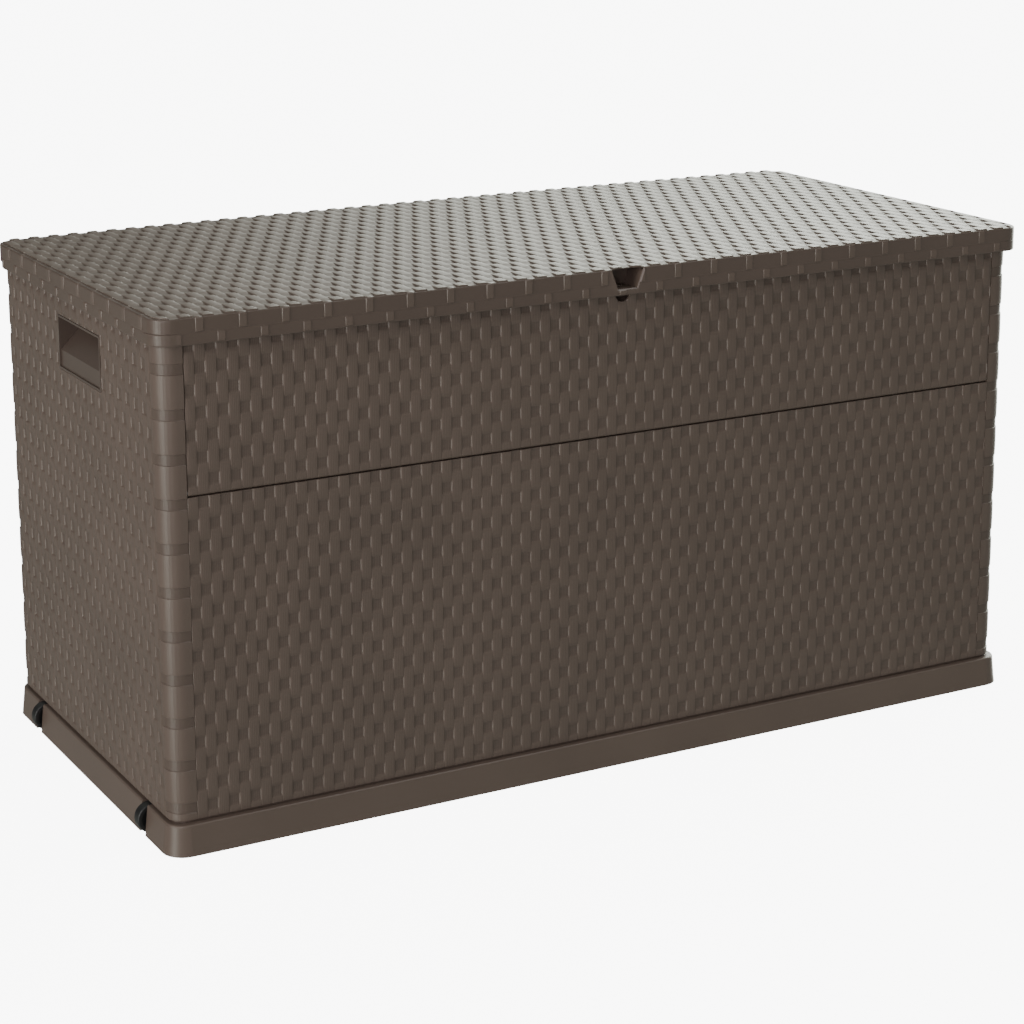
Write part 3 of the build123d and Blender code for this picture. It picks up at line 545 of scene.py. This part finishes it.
def woven_end(side, name):
    """An end panel: woven on the end, banded posts round both corners, jambs at the seams, handle opening."""
    shell = Shell()
    low, high = end_low, end_high
    path, normals, kinds = corner_path(side)
    lines = np.concatenate([period_lines(low.z, high.z, FIRST_SQUARE, PERIOD), band_lines(low.z, high.z)])
    z = np.unique(np.round(lines, 5))
    z = z[np.concatenate([[True], np.diff(z) > ROW_ROOM])]
    place = np.array([kind[0] for kind in kinds], float)
    strand = np.array([kind[1] for kind in kinds], int)
    post = (place < 0)[:, None]
    depth, sunk = weave(np.maximum(place, 0), strand, z, FIRST_SQUARE, END_PITCH)
    band, dark = band_profile(z)
    depth = np.where(post, band[None, :], depth)
    # Painted shade: on the posts, the bands' darkness takes the place of the weave's
    sunk = np.where(post, dark[None, :], sunk)
    outer = np.empty((len(path), len(z), 3))
    outer[..., :2] = path[:, None, :] - normals[:, None, :] * depth[..., None]
    outer[..., 2] = z[None, :]
    inner_path = end_inside(side)
    inner = np.empty((len(inner_path), len(z), 3))
    inner[..., :2] = inner_path[:, None, :]
    inner[..., 2] = z[None, :]
    outside = shell.add(outer, sunk)
    inside = shell.add(inner)
    ring = np.concatenate([outside, inside], axis=0)
    shell.grid(np.concatenate([ring, ring[:1]], axis=0))
    shell.face(ring[:, 0])
    shell.face(ring[::-1, -1])
    flange_low, flange_high = sorted((side * (low.x + FLANGE_START), side * (high.x - WALL + FLANGE_OVERLAP)))
    flange_front = low.y + JAMB_DEPTH + JOINT_ROOM
    flange_back = high.y - JAMB_DEPTH - JOINT_ROOM
    shell.box((flange_low, flange_front, low.z), (flange_high, flange_back, low.z + RIB))
    piece = shell.build(name + "_woven")
    window = rectangle(cup_low.y, cup_low.z, cup_high.y, cup_high.z)
    near, far = sorted((side * (cup_low.x + CLEAR), side * (cup_high.x + CLEAR)))
    cut(piece, [prism(window, near, far, 0)])
    cut(piece, [funnel(window, side * (high.x + HANDLE_LIP), side * (high.x - HANDLE_LIP), 2 * HANDLE_LIP)])
    smooth(piece)
    return piece


# The corners of a rounded rectangle: which side in x and y, and the angle at which each starts
ROUND_CORNERS = ((1, -1, -90), (1, 1, 0), (-1, 1, 90), (-1, -1, 180))


def rounded_rectangle(half_x, half_y, radius, steps):
    """Outline points of a rounded rectangle, anticlockwise from the front right corner."""
    outline = []
    for side_x, side_y, start in ROUND_CORNERS:
        centre = (side_x * (half_x - radius), side_y * (half_y - radius))
        outline += arc(radius, start, start + 90, steps, centre)
    return outline


def lid_crown(x):
    """How far the lid's top lies below its highest line: it falls a little towards both ends."""
    return LID_CROWN * (np.abs(x) / lid_high.x) ** 2


def lid_slab():
    """The woven top of the lid, with strands from front to back."""
    shell = Shell()
    half_x = lid_high.x - SLAB_END_INSET
    half_y = lid_high.y - SLAB_EDGE_INSET
    pitch = 2 * half_x / LID_COLUMNS
    x, across, strand = strand_lines(-half_x, pitch, LID_COLUMNS, -half_x, half_x)
    pattern = (LID_PERIOD, LID_SQUARE, LID_RAMP)
    y = period_lines(-half_y, half_y, LID_FIRST_SQUARE, *pattern, steps=1)
    depth, sunk = weave(across, strand + 1, y, LID_FIRST_SQUARE, pitch, *pattern)
    depth *= LID_RELIEF
    points = np.empty(depth.shape + (3,))
    points[..., 0] = x[:, None]
    points[..., 1] = y[None, :]
    points[..., 2] = lid_high.z - depth - lid_crown(points[..., 0])
    outer = shell.add(points, sunk)
    shell.grid(outer)
    below = np.empty((SLAB_UNDER_STEPS, 2, 3))
    below[..., 0] = np.linspace(-half_x, half_x, SLAB_UNDER_STEPS)[:, None]
    below[..., 1] = (-half_y, half_y)
    below[..., 2] = lid_high.z - LID_RELIEF * SQUARE_DEPTH - SLAB - lid_crown(below[..., 0])
    under = shell.add(below)
    shell.face(outer[:, 0], under[::-1, 0])
    shell.face(outer[-1, :], under[-1, ::-1])
    shell.face(outer[::-1, -1], under[:, 1])
    shell.face(outer[0, ::-1], under[0, :])
    shell.grid(under)
    piece = shell.build("lid_slab")
    outline = rounded_rectangle(half_x - TRIM, half_y - TRIM, LID_CORNER - SLAB_EDGE_INSET, 9)
    low_z, high_z = lid_low.z - CLEAR, lid_high.z + CLEAR
    cut(piece, [prism(outline, low_z, high_z, 2)], "INTERSECT")
    cut(piece, [prism(scoop_outline(), low_z, high_z, 2)])
    return piece


def scoop_outline():
    """The shallow arc that the padlock notch takes out of the lid's front edge, seen from above."""
    rise = NOTCH_SCOOP + SCOOP_ROOM
    radius = (SCOOP_HALF ** 2 + rise ** 2) / (2 * rise)
    centre_y = lid_low.y + NOTCH_SCOOP - radius
    reach = math.degrees(math.asin(SCOOP_HALF / radius))
    return arc(radius, 90 + reach, 90 - reach, 17, (0, centre_y))


def square_marks(first, half):
    """Grid lines along one side of the fascia: the edges of the raised squares of both rows."""
    marks = []
    start = first - FASCIA_PERIOD * math.ceil((first + half) / FASCIA_PERIOD)
    while start < half:
        for shift in (0, FASCIA_PERIOD / 2):
            for offset in (0, FASCIA_BEVEL, FASCIA_SQUARE / 2, FASCIA_SQUARE - FASCIA_BEVEL, FASCIA_SQUARE):
                marks.append(start + shift + offset)
        start += FASCIA_PERIOD
    return sorted(mark for mark in marks if -half < mark < half)


def rim_path():
    """The lid's outline: x, y, outward normal, and the place along a straight side, or nan on a corner."""
    half_x, half_y = lid_high.x - LID_CORNER, lid_high.y - LID_CORNER
    along_x = square_marks(UPPER_SQUARE_X, half_x)
    along_y = square_marks(UPPER_SQUARE_Y, half_y)
    sides = (
        [(mark, -lid_high.y, 0, -1, mark) for mark in along_x],
        [(lid_high.x, mark, 1, 0, mark) for mark in along_y],
        [(mark, lid_high.y, 0, 1, mark) for mark in reversed(along_x)],
        [(-lid_high.x, mark, -1, 0, mark) for mark in reversed(along_y)],
    )
    path = []
    for points, (side_x, side_y, start) in zip(sides, ROUND_CORNERS):
        path += points
        for nx, ny in arc(1, start, start + 90, CORNER_STEPS):
            x = side_x * half_x + LID_CORNER * nx
            y = side_y * half_y + LID_CORNER * ny
            path.append((x, y, nx, ny, math.nan))
    return np.array(path)


def rim_section():
    """The rim's section from its foot over the edge and back inside: height, inset and count outside."""
    top = lid_high.z - SLAB_RISE
    z = [lid_low.z, lid_low.z + FOOT, *LOWER_ROW, ROW_SPLIT, *UPPER_ROW, top - 2 * LID_EDGE]
    inset = [0.0] * len(z)
    for reach, rise in arc(LID_EDGE, 0, 90, 6):
        inset.append(LID_EDGE - reach)
        z.append(top - LID_EDGE + rise)
    outside = len(z)
    z += [top, top - RIM_LIP, top - RIM_LIP, lid_low.z]
    inset += [SLAB_END_INSET + RIM_OVERLAP] * 2 + [WALL] * 2
    return np.array(z), np.array(inset), outside


def lid_rim():
    """The lid's edge and fascia: two rows of strands that run round the sides."""
    path = rim_path()
    z, inset, outside_count = rim_section()
    outside = (np.arange(len(z)) < outside_count)[None, :]
    along = path[:, 4]
    flat = ~np.isnan(along)
    along = np.where(flat, along, 0)
    first = np.where(np.abs(path[:, 3]) > 0.5, UPPER_SQUARE_X, UPPER_SQUARE_Y)

    def raised(shift):
        """How far each point along the rim lies up on a square of one row."""
        t = (along - first - shift) % FASCIA_PERIOD
        t = np.where(t > FASCIA_PERIOD - TRIM, 0, t)
        edge = np.minimum(t, FASCIA_SQUARE - t)
        return np.where(flat, np.clip(edge / FASCIA_BEVEL, 0, 1), 0)[:, None]

    in_upper = np.interp(z, UPPER_ROW, [0, 1])[None, :]
    in_lower = np.interp(z, LOWER_ROW, [0, 1, 1, 0])[None, :]
    rise = raised(0) * in_upper + raised(FASCIA_PERIOD / 2) * in_lower
    groove = np.interp(np.abs(z - ROW_SPLIT), [0, ROW_EDGE], [1, 0])[None, :]
    foot = np.interp(z, [lid_low.z, lid_low.z + FOOT], [1, 0])[None, :]
    row_groove = np.where(flat, ROW_GROOVE, CORNER_ROW_GROOVE)[:, None]
    depth = FASCIA_RISE * (1 - rise) + row_groove * groove + FOOT_INSET * foot
    depth = np.where(outside, depth, 0)
    over = np.clip(inset / LID_EDGE, 0, 1)[None, :]
    reach = inset[None, :] + depth * (1 - over)
    points = np.empty((len(path), len(z), 3))
    points[..., 0] = path[:, None, 0] - path[:, None, 2] * reach
    points[..., 1] = path[:, None, 1] - path[:, None, 3] * reach
    drop = np.clip((z - ROW_SPLIT) / (lid_high.z - SLAB_RISE - ROW_SPLIT), 0, 1)[None, :]
    sink = np.where(outside, EDGE_SINK * depth * over, RIM_SINK)
    points[..., 2] = z[None, :] - drop * lid_crown(points[..., 0]) - sink * (drop > 0.9)
    shell = Shell()
    # Painted shade: the fascia is painted darker except on its raised squares
    numbers = shell.add(points, np.where(outside, FASCIA_PAINTED_SHADE * (1 - rise), 0))
    loop = np.concatenate([numbers, numbers[:1]], axis=0)
    shell.grid(np.concatenate([loop, loop[:, :1]], axis=1))
    return shell.build("lid_rim")


def notch_mouth(top):
    """The notch's outline in the lid's face, from its ledge up to some height."""
    half = NOTCH_BOTTOM_HALF + NOTCH_LEAN * (top - NOTCH_LEDGE)
    return [(-NOTCH_BOTTOM_HALF, NOTCH_LEDGE), (NOTCH_BOTTOM_HALF, NOTCH_LEDGE), (half, top), (-half, top)]


def notch_chamfer():
    """A closed cutter that chamfers the sides and the ledge of the notch at the lid's face."""
    shell = Shell()
    spread = 2 * NOTCH_CHAMFER
    inner_y = lid_low.y + FASCIA_RISE + NOTCH_CHAMFER
    outer_y = lid_low.y + FASCIA_RISE - NOTCH_CHAMFER
    mouth = notch_mouth(lid_high.z + WALL)
    signs = [(-1, -1), (1, -1), (1, 0), (-1, 0)]
    back = [(x, inner_y, z) for x, z in mouth]
    front = [(x + sx * spread, outer_y, z + sz * spread) for (x, z), (sx, sz) in zip(mouth, signs)]
    shell.solid(back, front)
    return shell.build("cutter")


def lid():
    """The lid shell: rim and slab, cut back at the rear, round the hinges and at the padlock notch."""
    rim = lid_rim()
    low_z = lid_low.z - CLEAR
    half = lid_high.x + 2 * CLEAR
    rear = rectangle(REAR_CUT_FRONT, low_z, lid_high.y + CLEAR, REAR_CUT_TOP)
    cutters = [prism(rear, -half, half, 0)]
    for middle in (-HINGE_X, HINGE_X):
        notch = rectangle(middle - HINGE_NOTCH_HALF, low_z, middle + HINGE_NOTCH_HALF, HINGE_NOTCH_TOP)
        cutters.append(prism(notch, lid_high.y - HINGE_NOTCH_DEPTH, lid_high.y + HINGE_NOTCH_DEPTH, 1))
    mouth_top = lid_high.z - WALL
    cutters.append(prism(notch_mouth(mouth_top), lid_low.y - CLEAR, lid_low.y + NOTCH_DEPTH, 1))
    cutters.append(prism(scoop_outline(), mouth_top - CUT_OVERLAP, lid_high.z + WALL, 2))
    cut(rim, cutters)
    cut(rim, [notch_chamfer()])
    piece = join("lid_shell_woven", [rim, lid_slab()])
    smooth(piece)
    return piece


def padlock_pocket():
    """The pocket behind the notch: walls that lean like the notch, open to the front and under the scoop."""
    low, high = socket_low, socket_high
    piece = prism(rectangle(low.x, low.z, high.x, high.z), low.y, high.y, 1, "padlock_pocket")
    inside = prism(notch_mouth(high.z + JOINT_ROOM), low.y - CLEAR, high.y - WALL, 1)
    cut(piece, [inside, prism(circle(SHACKLE_RADIUS, (0, SHACKLE_Y), 32), low.z - CLEAR, high.z, 2)])
    smooth(piece)
    return piece


def join(name, parts):
    """Several mesh objects as one."""
    whole = bmesh.new()
    for part in parts:
        whole.from_mesh(part.data)
    mesh = bpy.data.meshes.new(name)
    whole.to_mesh(mesh)
    whole.free()
    for part in parts:
        bpy.data.objects.remove(part)
    piece = bpy.data.objects.new(name, mesh)
    bpy.context.scene.collection.objects.link(piece)
    return piece


# Materials
def new_material(name):
    """A material with its nodes, links and shader."""
    material = bpy.data.materials.new(name)
    material.use_nodes = True
    nodes, links = material.node_tree.nodes, material.node_tree.links
    shader = nodes["Principled BSDF"]
    return material, nodes, links, shader


def noise(nodes, links, scale, detail=2):
    """Noise in the object's own coordinates."""
    place = nodes.new("ShaderNodeTexCoord")
    texture = nodes.new("ShaderNodeTexNoise")
    texture.inputs["Scale"].default_value = scale
    texture.inputs["Detail"].default_value = detail
    links.new(place.outputs["Object"], texture.inputs["Vector"])
    return texture.outputs["Fac"]


def roughness_range(nodes, links, source, low, high, shader):
    """Roughness between low and high, driven by a noise."""
    rough = nodes.new("ShaderNodeMapRange")
    rough.inputs["To Min"].default_value = low
    rough.inputs["To Max"].default_value = high
    links.new(source, rough.inputs["Value"])
    links.new(rough.outputs["Result"], shader.inputs["Roughness"])


def bump(nodes, links, height, strength, distance, before=None):
    """A bump from a height, on top of an earlier bump."""
    node = nodes.new("ShaderNodeBump")
    node.inputs["Strength"].default_value = strength
    node.inputs["Distance"].default_value = distance
    links.new(height, node.inputs["Height"])
    if before is not None:
        links.new(before, node.inputs["Normal"])
    return node.outputs["Normal"]


def fluted(nodes, links, axis):
    """A wave across the strands, one period to each fine flute."""
    place = nodes.new("ShaderNodeTexCoord")
    split = nodes.new("ShaderNodeSeparateXYZ")
    links.new(place.outputs["Object"], split.inputs["Vector"])
    scale = nodes.new("ShaderNodeMath")
    scale.operation = "MULTIPLY"
    scale.inputs[1].default_value = 2 * math.pi / FLUTE
    links.new(split.outputs[axis], scale.inputs[0])
    wave = nodes.new("ShaderNodeMath")
    wave.operation = "SINE"
    links.new(scale.outputs[0], wave.inputs[0])
    return wave.outputs[0]


FLUTE = 2.2 * MM
CLOUD_SPREAD = 0.06
# Painted shade: the colour that the 'sunk' attribute darkens towards
PAINTED_SHADE_COLOUR = (0.70, 0.68, 0.67, 1)


def plastic(name, colour, roughness, flutes=None):
    """Satin moulded plastic: slightly clouded colour, a fine grain, flutes along the strands, and painted
    shade from the 'sunk' attribute.
    """
    material, nodes, links, shader = new_material(name)
    shade = nodes.new("ShaderNodeValToRGB")
    dim, bright = shade.color_ramp.elements
    dim.position = 0.3
    bright.position = 0.7
    dim.color = (*[c * (1 - CLOUD_SPREAD) for c in colour], 1)
    bright.color = (*[c * (1 + CLOUD_SPREAD) for c in colour], 1)
    links.new(noise(nodes, links, 7, 4), shade.inputs["Fac"])
    # Painted shade: the colour is multiplied darker where the 'sunk' attribute says, in recesses
    sunk = nodes.new("ShaderNodeAttribute")
    sunk.attribute_name = "sunk"
    dark = nodes.new("ShaderNodeMix")
    dark.data_type = "RGBA"
    dark.blend_type = "MULTIPLY"
    dark.inputs["B"].default_value = PAINTED_SHADE_COLOUR
    links.new(sunk.outputs["Fac"], dark.inputs["Factor"])
    links.new(shade.outputs["Color"], dark.inputs["A"])
    links.new(dark.outputs["Result"], shader.inputs["Base Color"])
    grain = noise(nodes, links, 900)
    roughness_range(nodes, links, grain, roughness - 0.05, roughness + 0.07, shader)
    normal = bump(nodes, links, grain, 0.12, 0.4 * MM)
    if flutes is not None:
        normal = bump(nodes, links, fluted(nodes, links, flutes), 0.25, 0.12 * MM, normal)
    links.new(normal, shader.inputs["Normal"])
    shader.inputs["IOR"].default_value = 1.5
    return material


def zinc(name):
    """Zinc-plated steel: bright, slightly mottled and brushed."""
    material, nodes, links, shader = new_material(name)
    mottle = noise(nodes, links, 300)
    shade = nodes.new("ShaderNodeValToRGB")
    shade.color_ramp.elements[0].color = (0.42, 0.43, 0.45, 1)
    shade.color_ramp.elements[1].color = (0.66, 0.67, 0.68, 1)
    links.new(mottle, shade.inputs["Fac"])
    links.new(shade.outputs["Color"], shader.inputs["Base Color"])
    roughness_range(nodes, links, mottle, 0.28, 0.5, shader)
    shader.inputs["Metallic"].default_value = 1
    return material


TAUPE = (0.110, 0.080, 0.066)
upright_strands = plastic("taupe_upright_strands", TAUPE, 0.42, "X")
end_strands = plastic("taupe_end_strands", TAUPE, 0.42, "Y")
lid_strands = plastic("taupe_lid_strands", TAUPE, 0.38, "Y")
smooth_taupe = plastic("taupe_smooth", TAUPE, 0.38)
inside_taupe = plastic("taupe_inside", (0.105, 0.077, 0.064), 0.5)
# The handle cups: a darker copy of the taupe, painted shade for the hollow
painted_shade_cup_taupe = plastic("taupe_cup_painted_shade", (0.080, 0.058, 0.048), 0.36)
black = plastic("black_wheel", (0.010, 0.010, 0.011), 0.4)
steel = zinc("zinc_steel")


def finish_piece(piece, body, node, material):
    """Gives a new piece its material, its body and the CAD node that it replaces."""
    piece.data.materials.clear()
    piece.data.materials.append(material)
    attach(piece, body)
    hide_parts(node)


WOVEN_PANS = (
    ("lower_front_panel", front_low, front_high, 1),
    ("lower_back_panel", back_low, back_high, -1),
    ("upper_back_panel", upper_low, upper_high, -1),
)
for name, low, high, inward in WOVEN_PANS:
    finish_piece(woven_pan(name, low, high, inward), "case", name, upright_strands)
finish_piece(woven_flap(), "flap", "front_flap", upright_strands)
for side, name in ((-1, "left_end_panel"), (1, "right_end_panel")):
    finish_piece(woven_end(side, name), "case", name, end_strands)
finish_piece(lid(), "lid", "lid_shell", lid_strands)
finish_piece(padlock_pocket(), "lid", "padlock_socket", smooth_taupe)

CAD_MATERIALS = {
    "smooth_plastic": smooth_taupe,
    "rattan_plastic": inside_taupe,
    "wheel_plastic": black,
    "steel": steel,
}
EDGE = 0.2 * MM
EDGES = {"left_handle_cup": 1.2 * MM, "right_handle_cup": 1.2 * MM, "base_tray": 0.5 * MM}


def finish_cad_node(name, slot):
    """Material and soft edges for a node that comes straight from the CAD model."""
    node = frame["nodes"][name]
    node.data.materials.clear()
    # Handle cups take the darker taupe, with painted shade
    node.data.materials.append(painted_shade_cup_taupe if "cup" in name else CAD_MATERIALS[slot])
    bevel = node.modifiers.new("soft_edges", "BEVEL")
    bevel.width = EDGES.get(name, EDGE)
    bevel.segments = 2
    bevel.limit_method = "ANGLE"
    bevel.angle_limit = math.radians(40)
    bevel.harden_normals = False
    smooth(node, 30)


for part in frame["record"]["subparts"]:
    finish_cad_node(part["node"], part["material_slot"])


# Stage, light and camera
def area_light(name, place, target, size, power, colour=(1, 1, 1)):
    """A rectangular lamp that points at a target."""
    data = bpy.data.lights.new(name, "AREA")
    data.shape = "RECTANGLE"
    data.size, data.size_y = size
    data.energy = power
    data.color = colour
    light = bpy.data.objects.new(name, data)
    bpy.context.scene.collection.objects.link(light)
    light.location = place
    light.rotation_euler = (Vector(target) - Vector(place)).to_track_quat("-Z", "Y").to_euler()
    return light


def floor_material():
    """A pale floor that glows evenly, like a lit paper backdrop."""
    material, _, _, shader = new_material("pale_floor")
    shader.inputs["Base Color"].default_value = (0.92, 0.92, 0.92, 1)
    shader.inputs["Roughness"].default_value = 0.9
    shader.inputs["Specular IOR Level"].default_value = 0.1
    shader.inputs["Emission Color"].default_value = (1, 1, 1, 1)
    shader.inputs["Emission Strength"].default_value = 8.0
    return material


def studio_floor():
    """A round floor with an upright wall far behind it, which casts nothing on the box."""
    shell = Shell()
    outline = circle(FLOOR_REACH, (0, 0), 64)
    low_ring = shell.add([(x, y, 0) for x, y in outline])
    high_ring = shell.add([(x, y, FLOOR_REACH) for x, y in outline])
    shell.face(low_ring)
    shell.sleeve(low_ring, high_ring)
    floor = shell.build("studio_floor")
    floor.data.materials.append(floor_material())
    floor.visible_diffuse = False
    floor.visible_glossy = False
    floor.visible_shadow = False
    return floor


FLOOR_REACH = 14.0
floor = studio_floor()

# The room's light: a dim level all round, and parts that grow along a direction
ROOM_LIGHT = 0.10
ROOM_COLOUR = (0.96, 1.0, 0.91, 1)
GLOW_AZIMUTH = math.radians(58)
GLOW_ELEVATION = math.radians(10)
GLOW_LEVEL = math.cos(GLOW_ELEVATION)
RIGHT_GLOW = Vector((
    math.sin(GLOW_AZIMUTH) * GLOW_LEVEL,
    math.cos(GLOW_AZIMUTH) * GLOW_LEVEL,
    math.sin(GLOW_ELEVATION),
))
LEFT_GLOW = Vector((-0.93, -0.31, -0.20)).normalized()


def studio_world():
    """A dim room: a broad bright side low behind the box on the right, and a small one low on the left."""
    world = bpy.data.worlds.new("studio")
    bpy.context.scene.world = world
    world.use_nodes = True
    nodes, links = world.node_tree.nodes, world.node_tree.links
    place = nodes.new("ShaderNodeTexCoord")
    split = nodes.new("ShaderNodeSeparateXYZ")
    links.new(place.outputs["Generated"], split.inputs["Vector"])

    def towards(direction):
        """How close a ray is to a direction."""
        dot = nodes.new("ShaderNodeVectorMath")
        dot.operation = "DOT_PRODUCT"
        dot.inputs[1].default_value = direction
        links.new(place.outputs["Generated"], dot.inputs[0])
        return dot.outputs["Value"]

    # Each part: what it grows along, where it starts, where it is full, and its strength there
    parts = (
        (towards(RIGHT_GLOW), 0.785, 0.98, 7.4),
        (towards(LEFT_GLOW), 0.95, 0.99, 5.5),
        (split.outputs["Z"], 0.02, -0.2, 0.20),
        (split.outputs["Z"], 0.25, 0.8, 0.44),
        (split.outputs["Y"], 0.1, -0.6, 0.145),
    )
    light = None
    for source, start, full, strength in parts:
        ramp = nodes.new("ShaderNodeMapRange")
        ramp.interpolation_type = "SMOOTHSTEP"
        ramp.inputs["From Min"].default_value = start
        ramp.inputs["From Max"].default_value = full
        ramp.inputs["To Min"].default_value = 0
        ramp.inputs["To Max"].default_value = strength
        links.new(source, ramp.inputs["Value"])
        total = nodes.new("ShaderNodeMath")
        total.operation = "ADD"
        total.inputs[0].default_value = ROOM_LIGHT
        if light is not None:
            links.new(light, total.inputs[0])
        links.new(ramp.outputs["Result"], total.inputs[1])
        light = total.outputs[0]
    background = nodes["Background"]
    background.inputs["Color"].default_value = ROOM_COLOUR
    links.new(light, background.inputs["Strength"])


studio_world()
area_light(
    name="left_softbox",
    place=(-3.6, -0.9, 1.2),
    target=(-0.4, -0.2, 0.35),
    size=(0.9, 1.7),
    power=42,
    colour=(1.0, 0.95, 0.92),
)
area_light(
    name="overhead",
    place=(0.9, -0.7, 2.6),
    target=(0.2, -0.2, 0.6),
    size=(0.5, 0.5),
    power=10,
)
area_light(
    name="front_left",
    place=(-2.4, -3.0, 1.3),
    target=(-0.5, -0.27, 0.3),
    size=(1.0, 1.0),
    power=30,
    colour=(1.0, 0.92, 0.95),
)

CAMERA_PLACE = Vector((-1.5424, -2.8018, 1.1988))
CAMERA_AZIMUTH = math.radians(-28.756)
CAMERA_ELEVATION = math.radians(12.969)
CAMERA_ROLL = math.radians(-0.154)
CAMERA_LENS = 88.87
CAMERA_SHIFT = -0.15


def add_camera():
    """The camera at the photo's viewing angle."""
    data = bpy.data.cameras.new("camera")
    data.sensor_width = 36
    data.lens = CAMERA_LENS
    data.shift_y = CAMERA_SHIFT
    data.clip_end = 100
    camera = bpy.data.objects.new("camera", data)
    bpy.context.scene.collection.objects.link(camera)
    level = math.cos(CAMERA_ELEVATION)
    forward = Vector((
        -math.sin(CAMERA_AZIMUTH) * level,
        math.cos(CAMERA_AZIMUTH) * level,
        -math.sin(CAMERA_ELEVATION),
    ))
    turn = forward.to_track_quat("-Z", "Y")
    camera.location = CAMERA_PLACE
    camera.rotation_mode = "QUATERNION"
    camera.rotation_quaternion = turn @ Matrix.Rotation(CAMERA_ROLL, 3, "Z").to_quaternion()
    bpy.context.scene.camera = camera


add_camera()
